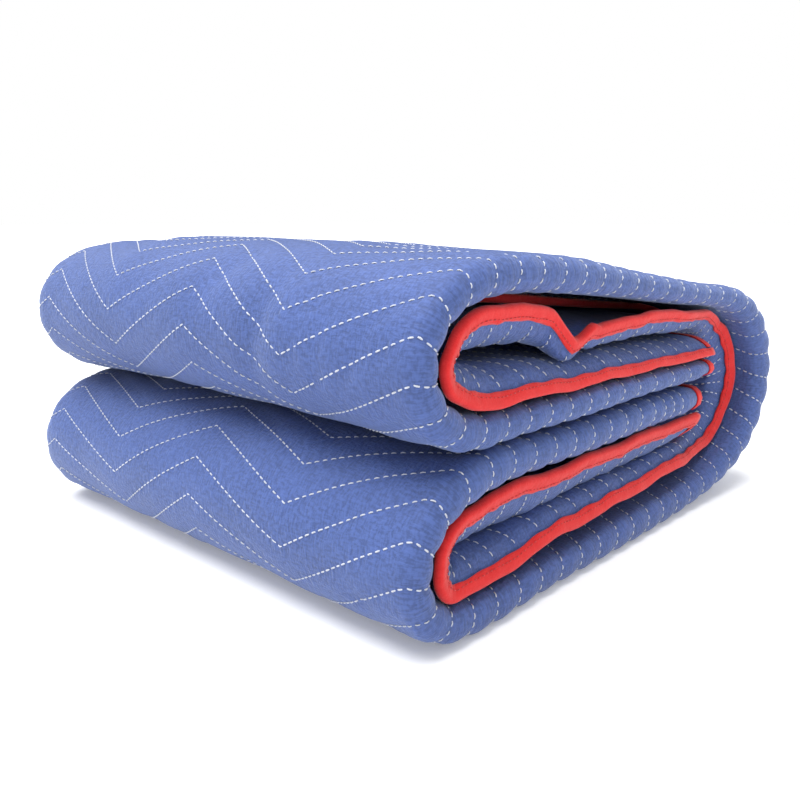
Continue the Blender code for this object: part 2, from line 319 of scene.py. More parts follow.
# Seam of the tape: distance from the tape's inner edge, lift over the tape, then pitch, length and
# width of its stitches
TAPE_SEAM_IN = 0.0028
TAPE_SEAM_LIFT = 0.0003
TAPE_STITCH = (0.0042, 0.0030, 0.0007)

# Lights of the stage. Columns: name, direction in which it shines, strength, width in degrees.
LIGHTS = (
    ("key_light", (0.22, -0.14, -0.97), 4.4, 50),
    ("fill_light", (0.55, 0.60, -0.58), 0.25, 90),
)

# Camera: its place, its turn and its tilt down in degrees, its lens and sensor in millimetres
CAMERA_PLACE = (-0.5930, -0.5165, 0.2605)
CAMERA_TURN = 47.20
CAMERA_TILT = 12.53
LENS = 36.4
SENSOR = 36.0

# Floor: half its side, its drop under the blanket, and the painted light it gives by itself, which lightens
# the shadows cast on it
FLOOR_HALF = 40.0
FLOOR_DROP = 0.0004
FLOOR_GLOW = 0.22


def to_linear(code):
    """Linear colour of an sRGB hex value such as 4a62a8."""
    parts = [int(code[i : i + 2], 16) / 255 for i in (0, 2, 4)]
    return tuple(c / 12.92 if c <= 0.04045 else ((c + 0.055) / 1.055) ** 2.4 for c in parts)


class BlanketSizes(bpy.types.PropertyGroup):
    """Sizes of the sewing that can be changed without changing the folded form."""

    seam_spacing: FloatProperty(
        name="Seam spacing", description="Distance between two quilting lines along the strip",
        default=0.0256, min=0.015, max=0.06, unit="LENGTH",
    )
    first_seam: FloatProperty(
        name="First seam", description="Place of the first quilting line from the first cut end",
        default=0.0158, min=0.0, max=0.06, unit="LENGTH",
    )
    zigzag_half: FloatProperty(
        name="Zigzag half period", description="Distance across the cloth from a peak to a valley",
        default=0.109, min=0.05, max=0.3, unit="LENGTH",
    )
    first_peak: FloatProperty(
        name="First peak", description="Distance of a zigzag peak from the near roll",
        default=-0.004, min=-0.1, max=0.1, unit="LENGTH",
    )
    puff: FloatProperty(
        name="Puff", description="Depth of the quilting seams under the padded face between them",
        default=0.0012, min=0.0, max=0.004, unit="LENGTH",
    )
    stitch_pitch: FloatProperty(
        name="Stitch pitch", description="Distance from one quilting stitch to the next",
        default=0.0060, min=0.003, max=0.012, unit="LENGTH",
    )
    stitch_length: FloatProperty(
        name="Stitch length", description="Length of thread that shows in one stitch",
        default=0.0042, min=0.001, max=0.01, unit="LENGTH",
    )
    thread: FloatProperty(
        name="Thread width", description="Width of the quilting thread as it lies on the cloth",
        default=0.0012, min=0.0004, max=0.002, unit="LENGTH",
    )
    tape_reach: FloatProperty(
        name="Tape width", description="How far the edge tape reaches in over the cloth",
        default=0.0078, min=0.006, max=0.012, unit="LENGTH",
    )
    tape_wall: FloatProperty(
        name="Tape thickness", description="Thickness of the folded edge tape on each face",
        default=0.0010, min=0.0006, max=0.002, unit="LENGTH",
    )
    seed: IntProperty(
        name="Seed", description="Seed of the unevenness of cloth and sewing", default=7, min=0,
    )


class BlanketColours(bpy.types.PropertyGroup):
    """Colours of cloth, tape, thread and stage."""

    cloth: FloatVectorProperty(
        name="Cloth", description="Blue of the woven face cloth", subtype="COLOR",
        default=to_linear("32426e"), min=0.0, max=1.0,
    )
    cloth_worn: FloatVectorProperty(
        name="Cloth, light threads", description="Lighter blue of the raised threads", subtype="COLOR",
        default=to_linear("4a609d"), min=0.0, max=1.0,
    )
    tape: FloatVectorProperty(
        name="Tape", description="Red of the edge tape", subtype="COLOR",
        default=to_linear("c61719"), min=0.0, max=1.0,
    )
    tape_light: FloatVectorProperty(
        name="Tape, light threads", description="Lighter red of the tape's raised threads", subtype="COLOR",
        default=to_linear("d52d2d"), min=0.0, max=1.0,
    )
    thread: FloatVectorProperty(
        name="Thread", description="Off-white of the quilting thread", subtype="COLOR",
        default=to_linear("c6cad4"), min=0.0, max=1.0,
    )
    floor: FloatVectorProperty(
        name="Floor", description="Pale floor under the blanket", subtype="COLOR",
        default=to_linear("eaeaea"), min=0.0, max=1.0,
    )


def spline(knots, values, at):
    """Natural cubic curve through the values, read at the given places."""
    gap = np.diff(knots)
    slope = np.diff(values) / gap
    count = len(knots)
    system = np.eye(count)
    right = np.zeros(count)
    for i in range(1, count - 1):
        system[i, i - 1 : i + 2] = (gap[i - 1], 2 * (gap[i - 1] + gap[i]), gap[i])
        right[i] = 6 * (slope[i] - slope[i - 1])
    bend = np.linalg.solve(system, right)
    i = np.clip(np.searchsorted(knots, at) - 1, 0, count - 2)
    left = at - knots[i]
    rest = knots[i + 1] - at
    return (
        (bend[i] * rest**3 + bend[i + 1] * left**3) / (6 * gap[i])
        + (values[i] / gap[i] - bend[i] * gap[i] / 6) * rest
        + (values[i + 1] / gap[i] - bend[i + 1] * gap[i] / 6) * left
    )


def smooth(low, high, value):
    """0 below low, 1 above high, and a soft step between."""
    t = np.clip((value - low) / (high - low), 0, 1)
    return t * t * (3 - 2 * t)


class FoldedCloth:
    """Where the folded blanket holds each point of its flat cloth.

    A point is u along the outermost panel from the first cut end, w across from the first long
    edge, and h over the middle of the sheet."""

    def __init__(self, sizes):
        self.sizes = sizes
        table = np.array(STRIP)
        step = np.hypot(np.diff(table[:, 0]), np.diff(table[:, 1]))
        knots = np.concatenate([[0], np.cumsum(step)])
        fine = np.linspace(0, knots[-1], FINE_POINTS)
        x = spline(knots, table[:, 0], fine) - WIDTH / 2
        z = spline(knots, table[:, 1], fine)
        self.s = np.concatenate([[0], np.cumsum(np.hypot(np.diff(x), np.diff(z)))])
        tx, tz = np.gradient(x, self.s), np.gradient(z, self.s)
        size = np.hypot(tx, tz)
        self.x, self.z, self.nx, self.nz = x, z, -tz / size, tx / size
        self.swell = np.interp(fine, knots, table[:, 2])
        curve = -np.gradient(np.unwrap(np.arctan2(tz, tx)), self.s)
        outer = 1 + np.clip(curve * LARGE_FOLD, -0.5, 3)
        self.u = np.concatenate([[0], np.cumsum((outer[1:] + outer[:-1]) / 2 * np.diff(self.s))])
        self.length = self.u[-1]
        self.rows = []
        y, n, angle, start = NEAR + EDGE_BACK, -SMALL_FOLD, 0.0, 0.0
        for size, turn in ACROSS:
            swing = math.radians(turn)
            length = size * abs(swing) if turn else size
            self.rows.append((start, length, size, swing, y, n, angle))
            y, n, angle = self.along_row(self.rows[-1], length)
            start += length
        self.width = start
        draw = np.random.default_rng(sizes.seed)
        self.waves = [
            (
                draw.uniform(0.5, 1.0),
                2 * math.pi / draw.uniform(*WAVE_LENGTHS),
                draw.uniform(0, math.pi),
                draw.uniform(0, 6),
            )
            for _ in range(WAVE_COUNT)
        ]
        self.middle = np.zeros(2)
        along = np.linspace(0, self.length, 400)
        outside = np.linspace(self.start(NEAR_ROLL), self.start(INNER_PANEL), 120)
        u, w = np.meshgrid(along, outside)
        reach = self.place(u, w, SHEET / 2)[..., :2].reshape(-1, 2)
        solid = np.array([PAD_LOW, PAD_HIGH])[:, :2]
        self.middle = (reach.min(axis=0) + reach.max(axis=0) - solid.sum(axis=0)) / 2

    def start(self, row):
        """Distance across the cloth where a panel or fold starts."""
        return self.rows[row][0]

    @staticmethod
    def along_row(row, along):
        """Depth, offset and direction a way along a panel or fold."""
        start, length, size, swing, y, n, angle = row
        if not swing:
            return y + along * math.cos(angle), n + along * math.sin(angle), angle + 0 * along
        side = math.copysign(1, swing)
        now = angle + side * along / size
        cy, cn = y - side * size * math.sin(angle), n + side * size * math.cos(angle)
        return cy + side * size * np.sin(now), cn - side * size * np.cos(now), now

    def fold_across(self, w, h):
        """Depth and offset of points a height h over the middle of the sheet."""
        y, n, now = (np.zeros(np.shape(w)) for _ in range(3))
        for i, row in enumerate(self.rows):
            here = np.ones(np.shape(w), bool)
            if i > 0:
                here &= w > row[0]
            if i < len(self.rows) - 1:
                here &= w <= row[0] + row[1]
            y[here], n[here], now[here] = self.along_row(row, w[here] - row[0])
        return y - h * np.sin(now), n + h * np.cos(now)

    def place(self, u, w, h):
        """Points of the folded blanket, as rows of x, y, z."""
        u, w, h = np.broadcast_arrays(*(np.asarray(v, float) for v in (u, w, h)))
        y, n = self.fold_across(w, h)
        slip, back, sag = (np.interp(u, EDGE_LIE[:, 0], EDGE_LIE[:, k]) for k in (1, 2, 3))
        from_edge = self.width - w
        held = 1 - smooth(EDGE_HELD, EDGE_REACH, from_edge)
        sagging = smooth(SAG_START, SAG_FULL, from_edge) * (1 - smooth(SAG_FULL, SAG_REACH, from_edge))
        wander = sum(size * np.sin(u * wave + start) for size, wave, start in EDGE_WANDER)
        from_end = np.minimum(u, self.length - u)
        n = n - held * (slip + wander * smooth(0.0, WANDER_ROOM, from_end)) - sagging * sag
        y = y + held * back
        inside = np.clip(u, 0, self.length)
        s = np.interp(inside, self.u, self.s)
        columns = (self.x, self.z, self.nx, self.nz, self.swell)
        x, z, nx, nz, swell = (np.interp(s, self.s, v) for v in columns)
        x = x + (u - inside) * nz + swell * n * nx
        z = z - (u - inside) * nx + swell * n * nz
        depth = (y - NEAR) / DEPTH
        right = np.clip(x / (WIDTH / 2), 0, None) ** 2
        x = x + right * np.interp(depth, SWELLING[:, 0], SWELLING[:, 1])
        y = y - right * SPREAD * (1 - depth)
        rise = np.interp(depth, SWELLING[:, 0], SWELLING[:, 2])
        rise = rise + FAR_RISE * right * smooth(FAR_RISE_FROM, FAR_RISE_TO, depth)
        z = z + np.clip(z / TOP, 0, None) * rise
        return np.stack([x - self.middle[0], y - self.middle[1], np.maximum(z, 0.0)], axis=-1)

    def shift(self, row, w):
        """How far a quilting line is carried along the strip at a place across the cloth."""
        from_roll = w - self.start(OUTER_PANEL)
        wave = 2 * np.abs(((from_roll - self.sizes.first_peak) / self.sizes.zigzag_half) % 2 - 1) - 1
        tilt = np.interp(row, QUILTING[:, 0], QUILTING[:, 1])
        rise = np.interp(row, QUILTING[:, 0], QUILTING[:, 2])
        room = smooth(0.0, ZIGZAG_ROOM, np.minimum(row, self.length - row))
        return room * (wave * rise / 2 + tilt * (np.clip(from_roll, 0, PANEL) - PANEL / 2))

    def half_sheet(self, u, w):
        """Half the thickness of the pad, less near the bound edges."""
        edge = np.minimum(np.minimum(u, self.length - u), np.minimum(w, self.width - w))
        rise = smooth(self.sizes.tape_reach, TAPE_TAPER, edge)
        return (EDGE_SHEET + (SHEET - EDGE_SHEET) * rise) / 2

    def unevenness(self, u, w):
        """Soft waves of the padded sheet, from -1 to 1 or so."""
        total = 0.0
        for size, wave, heading, phase in self.waves:
            total = total + size * np.sin(wave * (u * math.cos(heading) + w * math.sin(heading)) + phase)
        return total / 3

    def relief(self, row, w):
        """Height of the upper face over an even sheet: seams, soft waves and creases."""
        sizes = self.sizes
        u = row + self.shift(row, w)
        from_seam = seam_distance(self, row)
        pinch = np.exp(-((from_seam / PINCH_WIDTH) ** 1.5))
        swell = np.cos(from_seam / sizes.seam_spacing * math.pi) ** 2
        valley = PINCH_SHARE * pinch + (1 - PINCH_SHARE) * swell
        roll = self.start(NEAR_ROLL) + ROLL_START
        fading = smooth(roll + ROLL_FADE[0], roll + ROLL_FADE[1], w)
        near = smooth(roll, roll + ROLL_RISE, w) * (1 - fading)
        flare = smooth(self.width - FLARE_RISE[0], self.width - FLARE_RISE[1], w)
        factor = SEAM_DEPTHS["flat"] + SEAM_DEPTHS["roll"] * near + SEAM_DEPTHS["flare"] * flare
        depth = sizes.puff * factor
        height = -depth * valley + WAVE_HEIGHT * self.unevenness(u, w)
        across = w - self.start(OUTER_PANEL)
        for u0, w0, u1, w1, half, deep in CREASES:
            du, dw = u1 - u0, w1 - w0
            t = np.clip(((u - u0) * du + (across - w0) * dw) / (du * du + dw * dw), 0, 1)
            away = np.hypot(u - u0 - t * du, across - w0 - t * dw)
            fade = np.sin(math.pi * np.clip(t, 0.02, 0.98))
            height = height - deep * np.exp(-((away / half) ** 2)) * fade
        edge = np.minimum(np.minimum(u, self.length - u), np.minimum(w, self.width - w))
        return height * smooth(sizes.tape_reach, TAPE_TAPER, edge)


def mesh_object(name, points, faces, material, smooth_faces=True):
    """A new mesh object in the scene, with its material."""
    mesh = bpy.data.meshes.new(name)
    mesh.from_pydata(np.asarray(points).tolist(), [], faces)
    mesh.update()
    obj = bpy.data.objects.new(name, mesh)
    bpy.context.scene.collection.objects.link(obj)
    mesh.materials.append(material)
    if smooth_faces:
        mesh.shade_smooth()
    return obj


def signed_volume(points, quads):
    """Volume that the quads enclose, below zero if they face inwards."""
    a, b, c, d = (points[quads[:, i]] for i in range(4))
    return (np.einsum("ij,ij->i", a, np.cross(b, c)) + np.einsum("ij,ij->i", a, np.cross(c, d))).sum() / 6


def ring_quads(count, size):
    """Quads between rings of points, closed round each ring."""
    i, j = np.meshgrid(np.arange(count - 1), np.arange(size), indexing="ij")
    a, b = i * size + j, i * size + (j + 1) % size
    return np.stack([a, b, b + size, a + size], axis=-1).reshape(-1, 4)


def set_cloth_map(obj, across, along):
    """UV map in metres: across the cloth and along it."""
    mesh = obj.data
    corners = np.zeros(len(mesh.loops), np.int32)
    mesh.loops.foreach_get("vertex_index", corners)
    layer = mesh.uv_layers.new(name="cloth")
    places = np.stack([across[corners], along[corners]], axis=-1).astype(np.float32)
    layer.data.foreach_set("uv", places.ravel())


def set_values(obj, name, values):
    """A number for each point, which a material can read."""
    attribute = obj.data.attributes.new(name, "FLOAT", "POINT")
    attribute.data.foreach_set("value", np.asarray(values, np.float32))


def add_node(tree, kind, links=(), settings=(), **values):
    """One node with its properties, its input values and its links."""
    made = tree.nodes.new(kind)
    for name, value in dict(settings).items():
        setattr(made, name, value)
    for name, value in values.items():
        key = int(name[1:]) if name[0] == "i" and name[1:].isdigit() else name.replace("_", " ")
        made.inputs[key].default_value = value
    for key, source in dict(links).items():
        tree.links.new(source, made.inputs[key])
    return made


def new_material(name):
    """An empty node material with its shader and output."""
    material = bpy.data.materials.new(name)
    material.use_nodes = True
    tree = material.node_tree
    tree.nodes.clear()
    shader = add_node(tree, "ShaderNodeBsdfPrincipled")
    add_node(tree, "ShaderNodeOutputMaterial", {"Surface": shader.outputs[0]})
    return material, tree, shader


def noise(tree, place, size, detail, roughness=0.5):
    """Soft noise over the given coordinates, with patches of the given size."""
    made = add_node(
        tree, "ShaderNodeTexNoise", {"Vector": place}, Scale=1 / size, Detail=detail, Roughness=roughness
    )
    return made.outputs[0]


def drawn_noise(tree, flat, across, along, detail, roughness=0.5):
    """Noise drawn out on the flat cloth, with patches of a size across it and another along it."""
    drawn = add_node(tree, "ShaderNodeMapping", {"Vector": flat}, Scale=(1 / across, 1 / along, 1))
    return noise(tree, drawn.outputs[0], 1.0, detail, roughness)


def map_range(tree, value, low, high, start, end):
    """A value carried from the range low to high over to the range start to end."""
    made = add_node(tree, "ShaderNodeMapRange", {"Value": value}, i1=low, i2=high, i3=start, i4=end)
    return made.outputs[0]


def calculate(tree, operation, first, second):
    """Sum, product or larger one of two values, the second of which may be a plain number."""
    if isinstance(second, float):
        made = add_node(tree, "ShaderNodeMath", {0: first}, {"operation": operation}, i1=second)
    else:
        made = add_node(tree, "ShaderNodeMath", {0: first, 1: second}, {"operation": operation})
    return made.outputs[0]


def blend(tree, factor, low, high):
    """A colour between two colours."""
    made = add_node(
        tree, "ShaderNodeMix", {"Factor": factor}, {"data_type": "RGBA"}, i6=(*low, 1), i7=(*high, 1)
    )
    return made.outputs["Result"]


def bump(tree, height, strength, distance, under=None):
    """Surface raised by a height, on top of another bump if one is given."""
    links = {"Height": height}
    if under is not None:
        links["Normal"] = under
    return add_node(tree, "ShaderNodeBump", links, Strength=strength, Distance=distance).outputs[0]


def thread_grain(tree, flat, spacing, length):
    """Streaks of warp and weft threads: noise drawn long one way, then long the other."""
    warp = drawn_noise(tree, flat, spacing, length, 2.0, 0.6)
    weft = drawn_noise(tree, flat, length, spacing, 2.0, 0.6)
    return calculate(tree, "MULTIPLY", calculate(tree, "ADD", warp, weft), 0.5)


def woven_polyester(colours):
    """Woven polyester face cloth, piece dyed and calendered: a fine even grain with a satin sheen at a
    glancing angle. The real threads are 0.4 mm apart, too fine to show, so they are drawn 1.6 mm apart."""
    material, tree, shader = new_material("woven_polyester_cloth")
    flat = add_node(tree, "ShaderNodeUVMap", settings={"uv_map": "cloth"}).outputs[0]
    grain = thread_grain(tree, flat, 0.0016, 0.0050)
    wide = noise(tree, flat, 0.045, 3.0)
    seam = add_node(tree, "ShaderNodeAttribute", settings={"attribute_name": "from_seam"}).outputs["Fac"]
    close = map_range(tree, seam, 0.0, 0.008, 1.0, 0.0)
    pinched = calculate(tree, "MULTIPLY", drawn_noise(tree, flat, 0.0045, 0.02, 1.0), close)
    contrast = map_range(tree, grain, 0.42, 0.58, 0.0, 1.0)
    tint = map_range(tree, wide, 0.3, 0.7, 0.24, 0.44)
    mixed = calculate(tree, "ADD", calculate(tree, "MULTIPLY", contrast, 0.62), tint)
    colour = blend(tree, mixed, colours.cloth, colours.cloth_worn)
    tree.links.new(colour, shader.inputs["Base Color"])
    soft = bump(tree, wide, 0.35, 0.004)
    creased = bump(tree, pinched, 0.7, 0.0025, soft)
    weave = bump(tree, grain, 1.0, 0.0012, creased)
    tree.links.new(weave, shader.inputs["Normal"])
    shader.inputs["Roughness"].default_value = 0.72
    shader.inputs["IOR"].default_value = 1.53
    shader.inputs["Specular IOR Level"].default_value = 0.35
    shader.inputs["Sheen Weight"].default_value = 0.30
    shader.inputs["Sheen Roughness"].default_value = 0.40
    shader.inputs["Sheen Tint"].default_value = (0.70, 0.80, 1.0, 1)
    return material


def woven_tape(colours):
    """Woven polypropylene edge tape, folded over and sewn: matt, bright red, with fine threads and
    small puckers where the needle went through."""
    material, tree, shader = new_material("sewn_polypropylene_tape")
    flat = add_node(tree, "ShaderNodeUVMap", settings={"uv_map": "cloth"}).outputs[0]
    grain = thread_grain(tree, flat, 0.0010, 0.0035)
    wide = noise(tree, flat, 0.012, 3.0, 0.6)
    contrast = map_range(tree, grain, 0.38, 0.62, 0.0, 0.5)
    tint = map_range(tree, wide, 0.3, 0.7, 0.0, 0.5)
    colour = blend(tree, calculate(tree, "ADD", contrast, tint), colours.tape, colours.tape_light)
    tree.links.new(colour, shader.inputs["Base Color"])
    soft = bump(tree, wide, 0.5, 0.0015)
    weave = bump(tree, grain, 0.5, 0.0005, soft)
    tree.links.new(weave, shader.inputs["Normal"])
    shader.inputs["Roughness"].default_value = 0.80
    shader.inputs["IOR"].default_value = 1.49
    shader.inputs["Specular IOR Level"].default_value = 0.3
    shader.inputs["Sheen Weight"].default_value = 0.25
    shader.inputs["Sheen Roughness"].default_value = 0.45
    shader.inputs["Sheen Tint"].default_value = (1.0, 0.75, 0.70, 1)
    return material


def spun_thread(name, colour):
    """Spun polyester sewing thread: two plies twisted, matt, with a slight fuzz that lightens its edge."""
    material, tree, shader = new_material(name)
    place = add_node(tree, "ShaderNodeTexCoord").outputs["Object"]
    plies = noise(tree, place, 0.0006, 1.0)
    shade = map_range(tree, plies, 0.3, 0.7, 0.72, 1.0)
    dark = tuple(0.55 * c for c in colour)
    tree.links.new(blend(tree, shade, dark, colour), shader.inputs["Base Color"])
    tree.links.new(bump(tree, plies, 0.4, 0.0002), shader.inputs["Normal"])
    shader.inputs["Roughness"].default_value = 0.75
    shader.inputs["IOR"].default_value = 1.53
    shader.inputs["Sheen Weight"].default_value = 0.2
    return material


def pad_grid(cloth):
    """Places across the cloth for the upper face, and which of them the lower face shares."""
    upper, shared = [0.0], [0]
    last = 0.0
    for row, share, count, left_out in GRID:
        start, length = cloth.rows[row][:2]
        low = max(last, start)
        high = start + share * length
        for k in range(1, count + 1):
            upper.append(low + (high - low) * k / count)
            if k % (left_out + 1) == 0 or k == count:
                shared.append(len(upper) - 1)
        last = high
    return np.array(upper), shared


def pad_rows(cloth):
    """Places along the strip for the pad's rows, the seams among them."""
    spacing, first = cloth.sizes.seam_spacing, cloth.sizes.first_seam
    rows = [0.0, cloth.sizes.tape_reach]
    at = first
    while at < cloth.length - ROWS_ROOM:
        rows += [at + share * spacing for share in ROW_SHARES]
        at += spacing
    rows = [r for r in rows if r < cloth.length - cloth.sizes.tape_reach - TAPE_ROOM]
    return np.array(rows + [cloth.length - cloth.sizes.tape_reach, cloth.length])


def seam_distance(cloth, rows):
    """Distance of rows from the nearest quilting seam."""
    spacing = cloth.sizes.seam_spacing
    return np.abs((rows - cloth.sizes.first_seam + spacing / 2) % spacing - spacing / 2)


class BLANKET_OT_pad(bpy.types.Operator):
    """Make the folded quilted pad from its flat cloth"""

    bl_idname = "blanket.pad"
    bl_label = "Quilted pad"

    def execute(self, context):
        cloth = FoldedCloth(context.scene.blanket_sizes)
        rows = pad_rows(cloth)
        across, shared = pad_grid(cloth)
        row, w = np.meshgrid(rows, across, indexing="ij")
        u = row + cloth.shift(row, w)
        top = cloth.place(u, w, cloth.half_sheet(u, w) + cloth.relief(row, w))
        low_w = across[shared][::-1]
        low_row, low_w = np.meshgrid(rows, low_w, indexing="ij")
        low_u = low_row + cloth.shift(low_row, low_w)
        bottom = cloth.place(low_u, low_w, -cloth.half_sheet(low_u, low_w))
        points = np.concatenate([top, bottom], axis=1)
        size = points.shape[1]
        points = points.reshape(-1, 3)
        quads = ring_quads(len(rows), size)
        turned = signed_volume(points, quads) < 0
        if turned:
            quads = quads[:, ::-1]
        faces = quads.tolist()
        for base in (0, (len(rows) - 1) * size):
            for k in range(len(shared) - 1):
                cap = [base + j for j in range(shared[k], shared[k + 1] + 1)]
                cap += [base + size - 2 - k, base + size - 1 - k]
                faces.append(cap if bool(base) != turned else cap[::-1])
        colours = context.scene.blanket_colours
        pad = mesh_object("quilted_pad_cloth", points, faces, woven_polyester(colours))
        all_across = np.concatenate([w, low_w], axis=1).ravel()
        all_along = np.concatenate([u, low_u], axis=1).ravel()
        set_cloth_map(pad, all_across, all_along)
        set_values(pad, "from_seam", np.repeat(seam_distance(cloth, rows), size))
        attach(pad, "root")
        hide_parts("quilted_pad")
        return {"FINISHED"}


def tape_section(sizes):
    """Section of the folded tape: distance in from the edge and height, outside then inside."""
    wall, gap, half = sizes.tape_wall, TAPE_GAP, EDGE_SHEET / 2
    far, reach = half + gap + wall, sizes.tape_reach
    steps = [reach, 0.75 * reach, 0.5 * reach, 0.25 * reach, 0.05 * reach]
    outside = [(e, far) for e in steps]
    lip = [(-0.0012, 0.82 * far), (-0.0019, 0.45 * far)]
    outside += lip + [(-0.0021, 0.0)] + [(e, -h) for e, h in reversed(lip)]
    outside += [(e, -far) for e in reversed(steps)]
    inside = [(e, -half - gap) for e in steps] + [(-gap, -half), (-gap, 0.0), (-gap, half)]
    inside += [(e, half + gap) for e in reversed(steps)]
    return np.array(outside), np.array(inside)


def make_tape(name, cloth, along, place, material):
    """A closed folded tape along one edge of the cloth."""
    outside, inside = tape_section(cloth.sizes)
    section = np.concatenate([outside, inside])
    at, e = np.meshgrid(along, section[:, 0], indexing="ij")
    h = np.broadcast_to(section[:, 1], at.shape)
    draw = np.random.default_rng(cloth.sizes.seed + len(name))
    phases = draw.uniform(0, 6, 4)
    is_outside = np.arange(len(section)) < len(outside)
    waver = sum(size * np.sin(at * wave + phase) for (size, wave), phase in zip(TAPE_WAVER, phases[:2]))
    e = e + waver * np.clip(e / cloth.sizes.tape_reach, 0, 1)
    pucker = sum(size * np.sin(at * wave + phase) for (size, wave), phase in zip(TAPE_PUCKER, phases[2:]))
    inwards = np.clip(e / cloth.sizes.tape_reach, 0, 1)
    h = h + np.where(is_outside, np.sign(h) * (pucker + TAPE_LIFT) * inwards, 0)
    points = place(at, e, h).reshape(-1, 3)
    size = len(section)
    quads = ring_quads(len(along), size)
    turned = signed_volume(points, quads) < 0
    if turned:
        quads = quads[:, ::-1]
    faces = quads.tolist()
    for base in (0, (len(along) - 1) * size):
        cap = [base + j for j in range(size)]
        faces.append(cap if bool(base) != turned else cap[::-1])
    tape = mesh_object(name, points, faces, material)
    girth = np.cumsum(np.hypot(*np.diff(section, axis=0, prepend=section[:1]).T))
    set_cloth_map(tape, np.tile(girth, len(along)), np.repeat(along, size))
    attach(tape, "root")
    return tape


class BLANKET_OT_tapes(bpy.types.Operator):
    """Fold an edge tape over each long edge and each cut end"""

    bl_idname = "blanket.tapes"
    bl_label = "Edge tapes"

    def execute(self, context):
        cloth = FoldedCloth(context.scene.blanket_sizes)
        material = woven_tape(context.scene.blanket_colours)
        width, length = cloth.width, cloth.length
        along_strip = np.linspace(-TAPE_OVERHANG, length + TAPE_OVERHANG, TAPE_POINTS[0])
        room = cloth.sizes.tape_reach + TAPE_CLEARANCE
        along_end = np.linspace(room, width - room, TAPE_POINTS[1])
        sides = (
            ("edge_tape_side_1", along_strip, lambda at, e, h: cloth.place(at, e, h)),
            ("edge_tape_side_2", along_strip, lambda at, e, h: cloth.place(at, width - e, h)),
            ("edge_tape_end_1", along_end, lambda at, e, h: cloth.place(e, at, h)),
            ("edge_tape_end_2", along_end, lambda at, e, h: cloth.place(length - e, at, h)),
        )
        for name, along, place in sides:
            tape = make_tape(name, cloth, along, place, material)
            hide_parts(name.replace("edge_tape", "binding"))
        return {"FINISHED"}


def stitches(cloth, lines, pitch, length, width, lift):
    """Points and faces of thread stitches along lines over the cloth.

    A line gives u, w and h over its own length; the thread dips into the cloth at both ends."""
    shares, girths, dips = STITCH_RINGS.T
    size = len(shares) * RING_POINTS
    caps = np.array((range(RING_POINTS)[::-1], range(size - RING_POINTS, size)))
    one = np.concatenate([ring_quads(len(shares), RING_POINTS), caps])
    points, faces = [], []
    draw = np.random.default_rng(cloth.sizes.seed + 90)
    for u, w, h in lines:
        middle = cloth.place(u, w, h + lift)
        over = cloth.place(u, w, h + lift + LINE_STEP)
        run = np.concatenate([[0], np.cumsum(np.linalg.norm(np.diff(middle, axis=0), axis=1))])
        count = int(run[-1] / pitch)
        if count < 1:
            continue
        centres = (np.arange(count) + 0.5) * run[-1] / count
        centres = centres + draw.uniform(-STITCH_DRIFT, STITCH_DRIFT, count) * pitch
        long = draw.uniform(*STITCH_LENGTHS, (count, 1))
        at = np.clip(centres[:, None] + shares * length * long, 0, run[-1])
        spot = np.stack([np.interp(at, run, middle[:, k]) for k in range(3)], axis=-1)
        up = np.stack([np.interp(at, run, (over - middle)[:, k]) for k in range(3)], axis=-1)
        up /= np.linalg.norm(up, axis=-1, keepdims=True)
        way = spot[:, -1:] - spot[:, :1]
        side = np.cross(way, up)
        side /= np.maximum(np.linalg.norm(side, axis=-1, keepdims=True), 1e-9)
        half = girths[None, :, None] * width / 2
        core = spot + dips[None, :, None] * up
        wide, high = side * half, up * half * THREAD_FLATNESS
        base = sum(len(p) for p in points)
        points.append(np.stack([core + wide, core + high, core - wide, core - high], axis=2).reshape(-1, 3))
        starts = base + np.arange(count) * size
        faces.append((one[None] + starts[:, None, None]).reshape(-1, 4))
    return np.concatenate(points), np.concatenate(faces)


